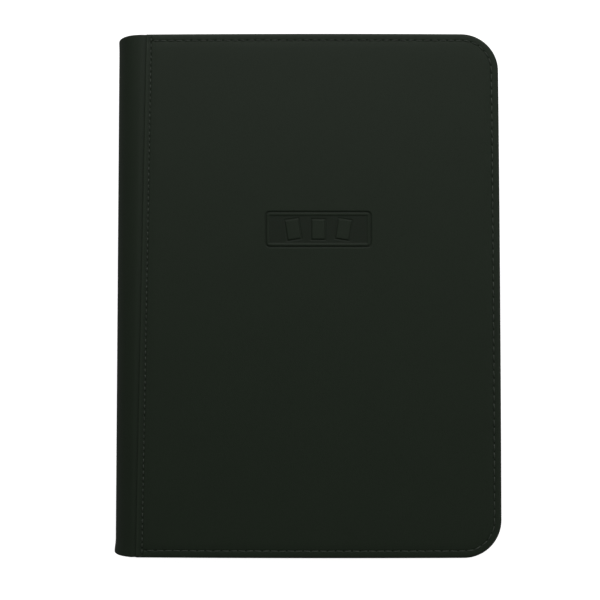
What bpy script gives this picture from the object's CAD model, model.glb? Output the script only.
"""A zip-round trading card binder, built piece by piece on its measured frame.

It lies shut on its back cover, with the spine at -X, the opening edge at +X and
the head at +Y. Every size is in metres.
"""
import math

import bmesh
import bpy
from mathutils import Matrix, Vector


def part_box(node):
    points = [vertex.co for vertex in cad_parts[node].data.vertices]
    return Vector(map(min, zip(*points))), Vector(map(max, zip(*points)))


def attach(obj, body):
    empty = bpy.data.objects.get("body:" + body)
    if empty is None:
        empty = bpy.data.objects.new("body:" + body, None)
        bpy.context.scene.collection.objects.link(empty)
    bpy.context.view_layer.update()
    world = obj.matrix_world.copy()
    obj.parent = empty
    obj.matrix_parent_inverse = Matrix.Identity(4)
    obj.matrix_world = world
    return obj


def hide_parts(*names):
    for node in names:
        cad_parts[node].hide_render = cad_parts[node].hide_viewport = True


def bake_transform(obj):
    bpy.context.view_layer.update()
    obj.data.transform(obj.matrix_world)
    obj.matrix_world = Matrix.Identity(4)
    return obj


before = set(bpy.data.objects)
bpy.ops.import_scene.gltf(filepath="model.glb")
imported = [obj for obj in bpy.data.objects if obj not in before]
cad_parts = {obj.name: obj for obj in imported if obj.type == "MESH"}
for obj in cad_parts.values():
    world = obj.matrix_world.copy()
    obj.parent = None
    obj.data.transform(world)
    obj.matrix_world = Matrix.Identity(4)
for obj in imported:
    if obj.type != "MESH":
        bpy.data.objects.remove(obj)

bl_info = {
    "name": "Zip-round card binder",
    "version": (1, 0, 0),
    "blender": (4, 5, 0),
    "location": "View3D > Sidebar > Binder",
    "description": "Makes a padded, zip-round binder for trading cards",
    "category": "Add Mesh",
}

MM = 0.001
OUT = Vector((0, 0, 1))

# ---------------------------------------------------------------- the frame's sizes

SKIN_LO, SKIN_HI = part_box("back_skin")
SEAM_X = SKIN_LO.x
FORE_X = SKIN_HI.x
HALF_H = SKIN_HI.y
COVER_T = SKIN_HI.z
TOP_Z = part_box("front_skin")[1].z
MID_Z = TOP_Z / 2
BOARD_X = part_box("back_foam")[0].x
CORNER_R = FORE_X - max(
    v.co.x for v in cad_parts["back_skin"].data.vertices if v.co.y > HALF_H - 1e-6
)
CORNER_X = FORE_X - CORNER_R
CORNER_Y = HALF_H - CORNER_R
SPINE_R = SEAM_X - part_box("spine_skin")[0].x
LINING_R = SEAM_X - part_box("spine_lining")[0].x
LINING_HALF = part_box("spine_lining")[1].y
BINDING_R = SEAM_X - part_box("binding_tape")[0].x - 0.5 * MM
TAPE_LO, TAPE_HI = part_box("zip_tape_back")
TAPE_INSET = HALF_H - TAPE_HI.y
COIL_LO, COIL_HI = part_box("zip_coil_back")
COIL_INSET = HALF_H - COIL_HI.y
SLIDER_LO, SLIDER_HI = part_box("zip_slider")
PULL_LO, PULL_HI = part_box("zip_pull")
STITCH_INSET = 5.0 * MM
SEAM_STITCH = 3.9 * MM
EDGE_STITCH_X = SEAM_X + 5.7 * MM
SEAM_STITCH_END = HALF_H - 2.5 * MM
FLANGE_INSET = TAPE_INSET + 8 * MM
LEAF_COUNT = 20
FIELD_X = BOARD_X + 0.5 * MM


# ---------------------------------------------------------------- the binder's own sizes


def length(name, description, default):
    """A size in metres that a user may change."""
    return bpy.props.FloatProperty(
        name=name, description=description, default=default, unit="LENGTH", precision=5
    )


def share(name, description, default):
    """A plain number from 0 to 1."""
    return bpy.props.FloatProperty(
        name=name, description=description, default=default, min=0, max=1, subtype="FACTOR"
    )


def colour(name, description, default):
    """A colour in linear light."""
    return bpy.props.FloatVectorProperty(
        name=name, description=description, default=default, size=3, min=0, max=1,
        subtype="COLOR",
    )


class BinderLeather(bpy.types.PropertyGroup):
    """The padded covers and the spine."""

    tone: colour("Leather", "Colour of the artificial leather", (0.0224, 0.0356, 0.0203))
    worn: colour("Worn edge", "Colour along the folded edges", (0.031, 0.046, 0.0285))
    gloss: share("Roughness", "Roughness of the leather's face", 0.55)
    grain: length("Grain", "Width of one pebble of the grain", 0.0008)
    edge_round: length("Edge", "Radius of the outer edges", 0.0024)
    fold_round: length("Fold", "Radius of the folded edge at the seam", 0.0008)
    hem_drop: length("Hem", "How far the hem lies below the padding", 0.00035)
    groove: length("Groove", "How far the stitches pull the leather in", 0.0004)
    wall: length("Leather", "Thickness of the leather", 0.0009)
    bow: length("Bow", "How far each side bows out in its middle", 0.0004)
    slant: bpy.props.FloatProperty(
        name="Slant", description="Slope of the front cover's seam", default=0.014
    )
    dip: length("Dip", "How far the spine's leather dips at the seam", 0.0005)
    flare: length("Flare", "How far the spine's tail end stands out", 0.0008)
    scorch: share("Scorch", "How dark the leather is where it is pressed hot", 0.72)


class BinderStitches(bpy.types.PropertyGroup):
    """The sewing along the covers."""

    tone: colour("Thread", "Colour of the sewing thread", (0.053, 0.072, 0.050))
    width: length("Width", "Thickness of the thread", 0.0008)
    edge_pitch: length("Edge pitch", "Length of one edge stitch", 0.0053)
    seam_pitch: length("Seam pitch", "Length of one seam stitch", 0.0039)
    share: share("Share", "How much of its pitch a stitch fills", 0.80)


class BinderEmblem(bpy.types.PropertyGroup):
    """Three blank cards in a plain frame, pressed into the front cover."""

    x: length("Across", "Place across the cover", 0.008)
    y: length("Along", "Place along the cover", 0.042)
    width: length("Width", "Width of the frame", 0.070)
    height: length("Height", "Height of the frame", 0.024)
    radius: length("Corner", "Corner radius of the frame", 0.003)
    card: length("Card", "Height of a card", 0.015)
    line: length("Line", "Width of a pressed line", 0.0011)
    depth: length("Depth", "Depth of a pressed line", 0.00065)
    panel: length("Panel", "Depth of the sunk panel round the cards", 0.0004)


class BinderPages(bpy.types.PropertyGroup):
    """The leaves and their pockets."""

    tone: colour("Core", "Colour of the black core sheet", (0.020, 0.020, 0.021))
    core: length("Core", "Thickness of the core sheet", 0.0003)
    film: length("Film", "Thickness of the clear film", 0.00012)
    depth: length("Depth", "Depth of a pocket", 0.0003)
    pocket_w: length("Pocket width", "Width of one pocket", 0.067)
    pocket_h: length("Pocket height", "Height of one pocket", 0.092)
    weld: length("Weld", "Width of the weld between pockets", 0.0025)
    border: length("Border", "Border outside the pockets", 0.005)
    mouth: length("Mouth", "How far the film stops short at the mouth", 0.003)
    corner: length("Corner", "Radius of the outer corners", 0.006)


class BinderZip(bpy.types.PropertyGroup):
    """The zip round the three free edges."""

    tape_tone: colour("Tape", "Colour of the woven tape", (0.020, 0.020, 0.021))
    coil_tone: colour("Coil", "Colour of the nylon coil", (0.024, 0.024, 0.025))
    metal_tone: colour("Metal", "Colour of the slider and stops", (0.16, 0.16, 0.165))
    tape: length("Tape", "Thickness of the tape", 0.00055)
    coil_pitch: length("Pitch", "Length of one turn of the coil", 0.0019)
    coil_depth: length("Depth", "Depth of the coil", 0.0024)
    wire: length("Wire", "Thickness of the coil's filament", 0.0008)
    gap: length("Gap", "Gap between the undone halves", 0.003)
    plate: length("Plate", "Thickness of the slider's plates", 0.0012)
    rim: length("Rim", "Width of the slider's rolled edges", 0.002)
    clear: length("Clearance", "Running clearance of the slider", 0.0003)
    crown: length("Crown", "Width of the slider's crown", 0.003)
    pull: length("Pull", "Thickness of the pull tab", 0.0016)


class BinderStudio(bpy.types.PropertyGroup):
    """The floor, the lights and the camera."""

    floor: share("Floor glow", "How bright the floor is by itself", 0.93)
    world: bpy.props.FloatProperty(
        name="Room", description="Light from all round", default=0.105, min=0
    )
    room: length("Size of the room", "Half the width of the floor", 12.0)
    below: bpy.props.FloatProperty(
        name="Below", description="Light that the pale floor gives back", default=0.22, min=0
    )
    key: bpy.props.FloatProperty(
        name="Key", description="Power of the soft light over the head", default=10.35,
        min=0, subtype="POWER",
    )
    lens: bpy.props.FloatProperty(
        name="Lens", description="Focal length in millimetres", default=52.47, min=1
    )
    camera: bpy.props.FloatVectorProperty(
        name="Camera", description="Place of the camera", size=3, subtype="TRANSLATION",
        default=(-0.0032, -0.0242, 0.6133),
    )
    tilt: bpy.props.FloatVectorProperty(
        name="Tilt", description="Turn of the camera", size=3, subtype="EULER",
        default=(0.0344, 0.0014, 0.0003),
    )


GROUPS = {
    "binder_leather": BinderLeather,
    "binder_stitches": BinderStitches,
    "binder_emblem": BinderEmblem,
    "binder_pages": BinderPages,
    "binder_zip": BinderZip,
    "binder_studio": BinderStudio,
}


# ---------------------------------------------------------------- finishes


class Wire:
    """A socket of a finish. Arithmetic on it adds Math nodes."""

    def __init__(self, finish, socket):
        self.finish = finish
        self.socket = socket

    def math(self, operation, *others, clamp=False):
        """This value and others through one Math node."""
        values = dict(enumerate((self,) + others))
        settings = {"operation": operation, "use_clamp": clamp}
        return self.finish.make("ShaderNodeMath", settings, values)

    def reverse(self, operation, other):
        """A number and this value, in that order, through one Math node."""
        return self.finish.make(
            "ShaderNodeMath", {"operation": operation}, {0: other, 1: self}
        )

    def __add__(self, other):
        return self.math("ADD", other)

    def __radd__(self, other):
        return self.math("ADD", other)

    def __sub__(self, other):
        return self.math("SUBTRACT", other)

    def __rsub__(self, other):
        return self.reverse("SUBTRACT", other)

    def __mul__(self, other):
        return self.math("MULTIPLY", other)

    def __rmul__(self, other):
        return self.math("MULTIPLY", other)

    def __pow__(self, other):
        return self.math("POWER", other)

    def __abs__(self):
        return self.math("ABSOLUTE")

    def sin(self):
        """The sine of this value."""
        return self.math("SINE")

    def clamped(self):
        """This value, held between 0 and 1."""
        return self.math("ADD", 0.0, clamp=True)

    def above(self, other):
        """1 where this value is over another, and 0 elsewhere."""
        return self.math("GREATER_THAN", other)


class Finish:
    """A node material with one main shader."""

    def __init__(self, name):
        self.material = bpy.data.materials.new(name)
        self.material.use_nodes = True
        self.tree = self.material.node_tree
        self.tree.nodes.clear()
        self.output = self.tree.nodes.new("ShaderNodeOutputMaterial")
        self.shader = self.tree.nodes.new("ShaderNodeBsdfPrincipled")
        self.tree.links.new(self.shader.outputs[0], self.output.inputs[0])

    def feed(self, socket, value):
        """Sets a socket to a number or a colour, or links it."""
        if isinstance(value, Wire):
            self.tree.links.new(value.socket, socket)
        elif socket.type == "RGBA" and len(value) == 3:
            socket.default_value = (*value, 1)
        else:
            socket.default_value = value

    def make(self, kind, settings=None, values=None, out=0):
        """Adds a node, and gives one of its outputs."""
        node = self.tree.nodes.new(kind)
        for key, value in (settings or {}).items():
            setattr(node, key, value)
        for key, value in (values or {}).items():
            self.feed(node.inputs[key], value)
        return Wire(self, node.outputs[out])

    def set(self, **values):
        """Sets sockets of the main shader, with _ for a space."""
        for key, value in values.items():
            self.feed(self.shader.inputs[key.replace("_", " ")], value)

    def place(self):
        """The piece's own place on its surface, which stays with it as it bends."""
        settings = {"attribute_type": "GEOMETRY", "attribute_name": "place"}
        return self.make("ShaderNodeAttribute", settings, out="Vector")

    def level(self, name):
        """A number that the piece carries on its surface."""
        settings = {"attribute_type": "GEOMETRY", "attribute_name": name}
        return self.make("ShaderNodeAttribute", settings, out="Fac")

    def axis(self, vector, name):
        """One of a vector's X, Y and Z."""
        return self.make("ShaderNodeSeparateXYZ", None, {0: vector}, out=name)

    def noise(self, vector, size, detail=2.0):
        """Soft noise whose patches are about size across."""
        values = {"Vector": vector, "Scale": 1 / size, "Detail": detail}
        return self.make("ShaderNodeTexNoise", None, values)

    def blend(self, factor, first, second):
        """One colour turning into another."""
        settings = {"data_type": "RGBA"}
        return self.make("ShaderNodeMix", settings, {0: factor, 6: first, 7: second}, out=2)

    def tint(self, mask, tone, low, high, **values):
        """Colours the surface from low to high times a tone, and sets more sockets."""
        self.set(Base_Color=self.blend(mask, shade(tone, low), shade(tone, high)), **values)

    def wave(self, value, pitch):
        """A sine wave that crosses 0 once every pitch."""
        return (value * (math.pi / pitch)).sin()

    def bump(self, height, depth, strength):
        """Raises the surface by a height of 0 to 1 times depth."""
        values = {"Height": height, "Distance": depth, "Strength": strength}
        self.set(Normal=self.make("ShaderNodeBump", None, values))

    def weave(self, place, axes, pitches):
        """A plain weave of threads along two axes, and which of them is on top."""
        warp, weft = (self.wave(self.axis(place, a), p) for a, p in zip(axes, pitches))
        over = (warp * weft).above(0.0)
        return over * abs(warp) + (1 - over) * abs(weft), over


def shade(tone, amount):
    """A colour, made lighter or darker."""
    return tuple(min(1.0, c * amount) for c in tone)


FINISHES = {}


def finish(name):
    """The finish of that name, made when it is first asked for."""
    if name not in FINISHES:
        FINISHES[name] = MAKERS[name](name)
    return FINISHES[name]


def leather_finish(name):
    """Fine-grained artificial leather, a little lighter where folds have worn."""
    sizes = bpy.context.scene.binder_leather
    made = Finish(name)
    place = made.place()
    warp = made.noise(place, 0.004, 1.0)
    shifted = made.make(
        "ShaderNodeVectorMath", {"operation": "MULTIPLY_ADD"},
        {
            0: made.make("ShaderNodeCombineXYZ", None, {0: warp, 1: warp, 2: warp}),
            1: (0.0012, -0.0010, 0.0008), 2: place,
        },
    )
    cells = made.make(
        "ShaderNodeTexVoronoi", {"feature": "DISTANCE_TO_EDGE"},
        {"Vector": shifted, "Scale": 1 / sizes.grain},
    )
    pebble = (cells * 5.0).clamped()
    fine = made.noise(place, 0.00025)
    mottle = made.noise(place, 0.035, 3.0)
    worn = (made.level("wear") * (0.6 + 0.6 * fine)).clamped()
    plain = made.blend(mottle, shade(sizes.tone, 0.93), shade(sizes.tone, 1.07))
    creased = made.blend((1 - pebble) * 0.35, plain, shade(sizes.tone, 0.6))
    pressed = made.level("pressed")
    rubbed = made.blend(worn, creased, tuple(sizes.worn))
    made.set(
        Base_Color=made.blend(pressed, rubbed, shade(sizes.tone, sizes.scorch)),
        Roughness=sizes.gloss + 0.10 * fine + 0.08 * (1 - pebble) - 0.10 * worn,
        Specular_IOR_Level=0.32,
    )
    made.bump(pebble * 0.7 + fine * 0.3, 0.00006, 0.55)
    return made.material


def cloth_finish(name):
    """The woven cloth that lines the covers and the spine."""
    made = Finish(name)
    place = made.place()
    height, over = made.weave(place, "XY", (0.00034, 0.00034))
    fuzz = made.noise(place, 0.0008, 3.0)
    made.tint(
        over * 0.5 + fuzz * 0.5, (0.024, 0.024, 0.025), 0.75, 1.35,
        Roughness=0.72 + 0.15 * fuzz, Sheen_Weight=0.25, Sheen_Roughness=0.5,
    )
    made.bump(height, 0.00008, 0.8)
    return made.material


def tape_finish(name):
    """The zip's tape, a tight herringbone of polyester."""
    sizes = bpy.context.scene.binder_zip
    made = Finish(name)
    place = made.place()
    height, over = made.weave(place, "XY", (0.00055, 0.0004))
    fuzz = made.noise(place, 0.0006, 3.0)
    rib = abs(made.wave(made.axis(place, "Y"), 0.0022)) ** 0.5
    made.tint(
        over * 0.6 + fuzz * 0.4, sizes.tape_tone, 0.7, 1.5,
        Roughness=0.66 + 0.16 * fuzz, Sheen_Weight=0.3, Sheen_Roughness=0.45,
    )
    made.bump(height * 0.7 + rib * 0.3, 0.00012, 0.8)
    return made.material


def binding_finish(name):
    """The strong woven tape that binds the leaves into the spine."""
    made = Finish(name)
    place = made.make("ShaderNodeTexCoord", None, None, out="Object")
    height, over = made.weave(place, "YZ", (0.0005, 0.0005))
    fuzz = made.noise(place, 0.0008, 3.0)
    mask = over * 0.5 + fuzz * 0.5
    made.tint(mask, (0.022, 0.022, 0.023), 0.7, 1.4, Roughness=0.7 + 0.15 * fuzz)
    made.bump(height, 0.00012, 0.8)
    return made.material


def thread_finish(name):
    """Twisted polyester thread."""
    sizes = bpy.context.scene.binder_stitches
    made = Finish(name)
    place = made.place()
    twist = made.axis(place, "X") + 0.7 * made.axis(place, "Y")
    strand = abs(made.wave(twist, 0.00055))
    fuzz = made.noise(place, 0.0002)
    made.tint(
        strand, sizes.tone, 0.6, 1.0, Roughness=0.36 + 0.2 * fuzz, Specular_IOR_Level=0.75
    )
    made.bump(strand * 0.8 + fuzz * 0.2, 0.00008, 0.8)
    return made.material


def foam_finish(name):
    """Fine open-cell padding foam."""
    made = Finish(name)
    place = made.place()
    cells = made.make(
        "ShaderNodeTexVoronoi", {"feature": "F1"}, {"Vector": place, "Scale": 1 / 0.0006}
    )
    made.tint(cells, (0.55, 0.54, 0.50), 1.0, 0.6, Roughness=0.9 + 0.05 * cells)
    made.bump(1 - cells, 0.0002, 0.8)
    return made.material


def greyboard_finish(name):
    """Pressed grey board with fibres and flecks."""
    made = Finish(name)
    place = made.make("ShaderNodeTexCoord", None, None, out="Object")
    drawn = made.make("ShaderNodeMapping", None, {0: place, 3: (0.35, 1.0, 1.0)})
    fibre = made.noise(drawn, 0.0011, 4.0)
    fleck = made.noise(place, 0.00035).above(0.66)
    tone = (0.27, 0.255, 0.225)
    fibres = made.blend(fibre, shade(tone, 0.8), shade(tone, 1.15))
    made.set(
        Base_Color=made.blend(fleck * 0.5, fibres, (0.09, 0.085, 0.08)),
        Roughness=0.85 + 0.1 * fibre,
    )
    made.bump(fibre, 0.0001, 0.7)
    return made.material


def core_finish(name):
    """The leaves' black core, a matt sheet with a fine pressed grain."""
    sizes = bpy.context.scene.binder_pages
    made = Finish(name)
    place = made.place()
    grain = made.noise(place, 0.0005)
    broad = made.noise(place, 0.02)
    made.tint(broad, sizes.tone, 0.85, 1.2, Roughness=0.5 + 0.12 * grain)
    made.bump(grain, 0.00004, 0.6)
    return made.material


def film_finish(name):
    """Clear soft film: glossy, faintly hazy, and ribbed where it is welded."""
    made = Finish(name)
    place = made.place()
    weld = made.axis(place, "Z")
    rib = abs(made.wave(made.axis(place, "X"), 0.0009))
    ripple = made.noise(place, 0.018)
    made.set(
        Base_Color=made.blend(weld, (0.55, 0.56, 0.58), (0.10, 0.10, 0.105)),
        Roughness=0.10 + 0.25 * weld + 0.05 * ripple,
        Alpha=0.10 + 0.22 * weld,
        IOR=1.5,
    )
    made.bump(ripple * 0.8 + rib * weld * 0.2, 0.0005, 0.25)
    return made.material


def coil_finish(name):
    """Smooth nylon filament."""
    sizes = bpy.context.scene.binder_zip
    made = Finish(name)
    place = made.place()
    streak = made.noise(place, 0.0004, 3.0)
    made.tint(streak, sizes.coil_tone, 0.8, 1.4, Roughness=0.28 + 0.12 * streak)
    made.bump(streak, 0.00002, 0.5)
    return made.material


def metal_finish(name):
    """Die-cast metal with a dark plated finish, rubbed on its high edges."""
    sizes = bpy.context.scene.binder_zip
    made = Finish(name)
    place = made.place()
    cast = made.noise(place, 0.0007, 3.0)
    broad = made.noise(place, 0.005)
    drawn = made.make("ShaderNodeMapping", None, {0: place, 3: (0.08, 1, 1)})
    scuff = (made.noise(drawn, 0.0004) * 2.4 - 1.2).clamped()
    made.tint(
        broad * 0.5 + scuff * 0.35, sizes.metal_tone, 1.0, 1.6,
        Metallic=1.0, Roughness=0.27 + 0.10 * cast + 0.10 * scuff,
    )
    made.bump(cast * 0.6 + scuff * 0.4, 0.00003, 0.5)
    return made.material


MAKERS = {
    "cover_leather": leather_finish,
    "lining_cloth": cloth_finish,
    "zip_tape_weave": tape_finish,
    "binding_weave": binding_finish,
    "sewing_thread": thread_finish,
    "padding_foam": foam_finish,
    "greyboard": greyboard_finish,
    "leaf_core": core_finish,
    "pocket_film": film_finish,
    "nylon_coil": coil_finish,
    "plated_metal": metal_finish,
}


# ---------------------------------------------------------------- mesh helpers


def of_kind(made, kind):
    """The vertices, edges or faces in what an operator gives back."""
    return [g for g in made if isinstance(g, kind)]


def verts_of(made):
    return of_kind(made, bmesh.types.BMVert)


def edges_of(made):
    return of_kind(made, bmesh.types.BMEdge)


def everything(bm):
    """All that a bmesh holds."""
    return bm.verts[:] + bm.edges[:] + bm.faces[:]


def rectangle(bm, width, height, middle):
    """A flat face, so wide and so high about its middle; gives its vertices."""
    verts = bmesh.ops.create_grid(bm, x_segments=1, y_segments=1, size=0.5)["verts"]
    bmesh.ops.scale(bm, verts=verts, vec=(width, height, 1))
    bmesh.ops.translate(bm, verts=verts, vec=middle)
    return verts


def round_corners(bm, verts, radius, segments):
    """Rounds a flat face at some of its corners."""
    bmesh.ops.bevel(
        bm, geom=verts, offset=radius, offset_type="OFFSET", segments=segments,
        affect="VERTICES", profile=0.5, material=-1, clamp_overlap=True,
    )


def draw_in(bm, face, thickness):
    """Insets a face by a thickness."""
    bmesh.ops.inset_region(
        bm, faces=[face], thickness=thickness, use_boundary=True, use_even_offset=True
    )


def smooth(value, low, high):
    """0 below low, 1 above high, and a smooth rise between them."""
    t = min(1.0, max(0.0, (value - low) / (high - low)))
    return t * t * (3 - 2 * t)


def face_out(bm, outward):
    """Faces all point the same way, the largest of them along outward."""
    bmesh.ops.recalc_face_normals(bm, faces=bm.faces)
    bm.normal_update()
    largest = max(bm.faces, key=lambda face: face.calc_area())
    if largest.normal.dot(outward) < 0:
        bmesh.ops.reverse_faces(bm, faces=bm.faces)


def close_up(bm):
    """Merges what lies together, and turns closed shells right side out."""
    bmesh.ops.remove_doubles(bm, verts=bm.verts, dist=1e-7)
    bmesh.ops.recalc_face_normals(bm, faces=bm.faces)


def own_place(bm, where=None):
    """Keeps each vertex's place, or where() of it, on the surface as it is copied or bent."""
    layer = bm.verts.layers.float_vector.new("place")
    for vert in bm.verts:
        vert[layer] = where(vert.co) if where else vert.co


def make_piece(name, bm, material, sharp=40.0):
    """An object from a bmesh, smooth but for edges sharper than sharp degrees."""
    if not bm.verts.layers.float_vector.get("place"):
        own_place(bm)
    mesh = bpy.data.meshes.new(name)
    bm.to_mesh(mesh)
    bm.free()
    mesh.shade_smooth()
    mesh.set_sharp_from_angle(angle=math.radians(sharp))
    mesh.materials.append(finish(material))
    made = bpy.data.objects.new(name, mesh)
    bpy.context.scene.collection.objects.link(made)
    return made


def wall(made, thickness, offset=-1.0):
    """Gives a sheet its thickness."""
    solid = made.modifiers.new("wall", "SOLIDIFY")
    solid.thickness = thickness
    solid.offset = offset


def settle(made, body, slot, *nodes):
    """The piece moves with a body, and stands for nodes of the frame."""
    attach(made, body)
    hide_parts(*nodes)


def dress(node, material):
    """A piece that is kept from the frame gets its finish."""
    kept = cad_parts[node]
    kept.data.materials.clear()
    kept.data.materials.append(finish(material))


def push(bm, edges, step):
    """Draws edges out by step, and gives the edges at the far end."""
    made = bmesh.ops.extrude_edge_only(bm, edges=edges)["geom"]
    verts = verts_of(made)
    bmesh.ops.translate(bm, verts=verts, vec=step)
    ends = set(verts)
    return [e for e in edges_of(made) if ends.issuperset(e.verts)]


def swing(bm, edges, axis, centre, angle, steps):
    """Spins edges round a centre, and gives the edges at the far end."""
    verts = list(dict.fromkeys(v for e in edges for v in e.verts))
    made = bmesh.ops.spin(
        bm, geom=verts + edges, axis=axis, cent=centre, angle=angle, steps=steps
    )
    return edges_of(made["geom_last"])


def line_of(bm, points):
    """A chain of edges through points."""
    verts = [bm.verts.new(p) for p in points]
    return [bm.edges.new(pair) for pair in zip(verts, verts[1:])]


def sweep_edges(bm, profile, start_x, steps=14):
    """Runs a profile of (inset, z) points along the covers' three free edges."""
    edges = line_of(bm, [(start_x, t - HALF_H, z) for t, z in profile])
    run = Vector((CORNER_X - start_x, 0, 0))
    edges = push(bm, edges, run)
    edges = swing(bm, edges, OUT, (CORNER_X, -CORNER_Y, 0), math.pi / 2, steps)
    edges = push(bm, edges, (0, 2 * CORNER_Y, 0))
    edges = swing(bm, edges, OUT, (CORNER_X, CORNER_Y, 0), math.pi / 2, steps)
    push(bm, edges, -run)


class EdgePath:
    """A line along the three free edges, from the spine at the tail to the spine at the head."""

    def __init__(self, inset, start_x):
        self.inset = inset
        self.start_x = start_x
        self.radius = CORNER_R - inset
        self.straight = CORNER_X - start_x
        self.turn = self.radius * math.pi / 2
        self.length = 2 * (self.straight + self.turn + CORNER_Y)

    def at(self, s):
        """The place (x, y) and the heading in radians, s along the line."""
        if s > self.length / 2:
            x, y, heading = self.at(self.length - s)
            return x, -y, math.pi - heading
        if s <= self.straight:
            return self.start_x + s, self.inset - HALF_H, 0.0
        s -= self.straight
        if s <= self.turn:
            a = s / self.radius
            x, y = self.radius * math.sin(a), self.radius * math.cos(a)
            return CORNER_X + x, -CORNER_Y - y, a
        return FORE_X - self.inset, s - self.turn - CORNER_Y, math.pi / 2

    def find(self, x, y):
        """How far along the line a point lies, and how far in from the edge."""
        away = abs(y)
        if x > CORNER_X and away > CORNER_Y:
            dx, dy = x - CORNER_X, away - CORNER_Y
            inset = CORNER_R - math.hypot(dx, dy)
            s = self.straight + self.radius * math.atan2(dx, dy)
        elif HALF_H - away < FORE_X - x:
            inset = HALF_H - away
            s = x - self.start_x
        else:
            inset = FORE_X - x
            s = self.straight + self.turn + CORNER_Y - away
        return (s if y < 0 else self.length - s), inset

    def stand_at(self, s, z, roll=0.0):
        """A place s along the line at height z, turned along it and rolled about it."""
        x, y, heading = self.at(s)
        return stand(x, y, z, heading, roll)


def repeat(bm, matrices):
    """Copies all that bm holds to each matrix, and takes the first one away."""
    first = everything(bm)
    for matrix in matrices:
        made = bmesh.ops.duplicate(bm, geom=first)["geom"]
        bmesh.ops.transform(bm, matrix=matrix, verts=verts_of(made))
    bmesh.ops.delete(bm, geom=first, context="VERTS")


def stand(x, y, z, heading, roll=0.0):
    """A place, turned to a heading and rolled about it."""
    turn = Matrix.Rotation(heading, 4, "Z") @ Matrix.Rotation(roll, 4, "X")
    return Matrix.Translation((x, y, z)) @ turn


def slab(bm, outline, low, high, axis="Y"):
    """A prism on an outline of (x, across) points, drawn out along an axis."""
    points = [(a, low, b) if axis == "Y" else (a, b, low) for a, b in outline]
    face = bm.faces.new([bm.verts.new(p) for p in points])
    made = bmesh.ops.extrude_face_region(bm, geom=[face])["geom"]
    step = (0, high - low, 0) if axis == "Y" else (0, 0, high - low)
    bmesh.ops.translate(bm, verts=verts_of(made), vec=step)


def soften(bm, width, segments=2, angle=30.0, edges=None):
    """Rounds every edge that is sharper than angle degrees."""
    bm.normal_update()
    sharp = [
        e
        for e in (edges or bm.edges)
        if len(e.link_faces) == 2 and e.calc_face_angle(0.0) > math.radians(angle)
    ]
    bmesh.ops.bevel(
        bm, geom=sharp, offset=width, offset_type="OFFSET", segments=segments,
        affect="EDGES", profile=0.5, material=-1, clamp_overlap=True,
    )


def rounded(points, width, segments):
    """An outline with its corners rounded."""
    bm = bmesh.new()
    face = bm.faces.new([bm.verts.new((a, b, 0)) for a, b in points])
    round_corners(bm, list(face.verts), width, segments)
    made = [(v.co.x, v.co.y) for v in next(iter(bm.faces)).verts]
    bm.free()
    return made


# ---------------------------------------------------------------- the covers

# share of the hem's drop that the seam's hem has
SEAM_HEM = 0.7
# where the front cover's slanting seam crosses the straight one
SLANT_MIDDLE = 11 * MM
# width of the groove that a row of stitches leaves
GROOVE_WIDTH = 0.5 * MM


def pull_in(run, pitch):
    """How hard the thread pulls the leather in: hardest where one stitch meets the next."""
    return 0.8 + 0.6 * math.cos(2 * math.pi * run / pitch)


class Cover:
    """One cover: which way is out, and how its leather lies."""

    def __init__(self, name):
        self.name = name
        self.body = name + "_cover"
        self.up = 1 if name == "front" else -1
        self.outer_z = TOP_Z if name == "front" else 0.0
        self.leather = bpy.context.scene.binder_leather
        self.path = EdgePath(STITCH_INSET, EDGE_STITCH_X)
        self.edge_pitch = even_pitch(
            self.path.length, bpy.context.scene.binder_stitches.edge_pitch
        )
        self.seam_pitch = even_pitch(
            2 * SEAM_STITCH_END, bpy.context.scene.binder_stitches.seam_pitch
        )

    def z(self, depth):
        """The height of a point that lies depth below the cover's outer face."""
        return self.outer_z - self.up * depth

    def lie(self, x, y):
        """Where a point of the plain outline really lies: sides bow and the seam slants."""
        sizes = self.leather
        u = (x - (SEAM_X + FORE_X) / 2) / ((FORE_X - SEAM_X) / 2)
        v = y / HALF_H
        across = sizes.bow * smooth(x, 0.0, FORE_X) * (1 - v * v)
        along = sizes.bow * (1 - u * u) * v * abs(v)
        if self.name == "front":
            near = 1 - smooth(x, SEAM_X, SEAM_X + 16 * MM)
            across += sizes.slant * (y - SLANT_MIDDLE) * near
        return x + across, y + along

    def depth(self, x, y):
        """How far below the outer face the leather lies."""
        sizes = self.leather
        s, d = self.path.find(x, y)
        fold = x - SEAM_X
        edge = fall(d, sizes.edge_round)
        total = edge + fall(fold, sizes.fold_round) * (1 - edge / sizes.edge_round)
        total += sizes.hem_drop * (1 - smooth(d, STITCH_INSET, 10 * MM))
        seam_hem = SEAM_HEM * sizes.hem_drop * smooth(d, 0.0, 8 * MM)
        total += seam_hem * (1 - smooth(fold, SEAM_STITCH, 9 * MM))
        if x > EDGE_STITCH_X - MM:
            ends = pull_in(s, self.edge_pitch)
            total += sizes.groove * ends * bell(d - STITCH_INSET, GROOVE_WIDTH)
        if abs(y) < SEAM_STITCH_END + MM:
            ends = pull_in(y + SEAM_STITCH_END, self.seam_pitch)
            total += sizes.groove * ends * bell(fold - SEAM_STITCH, GROOVE_WIDTH)
        if self.name == "front":
            total += emblem_depth(x, y)
        return total

    def wear(self, x, y, below):
        """How worn the leather is, from 0 to 1: only on the shoulders of its folded edges."""
        _, d = self.path.find(x, y)
        edge = bell(d - 1.1 * MM, 0.6 * MM)
        fold = bell(x - SEAM_X - 0.8 * MM, 0.8 * MM)
        return max(edge, fold) * (1 - smooth(below, 1.2 * MM, 2.2 * MM))

    def inner(self, x):
        """The depth of the cover's inner face, which sinks where no board is."""
        return COVER_T - 1.7 * MM * (1 - smooth(x, SEAM_X, BOARD_X))


def even_pitch(run, pitch):
    """The pitch nearest to the one asked for that divides a run evenly."""
    return run / round(run / pitch)


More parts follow.
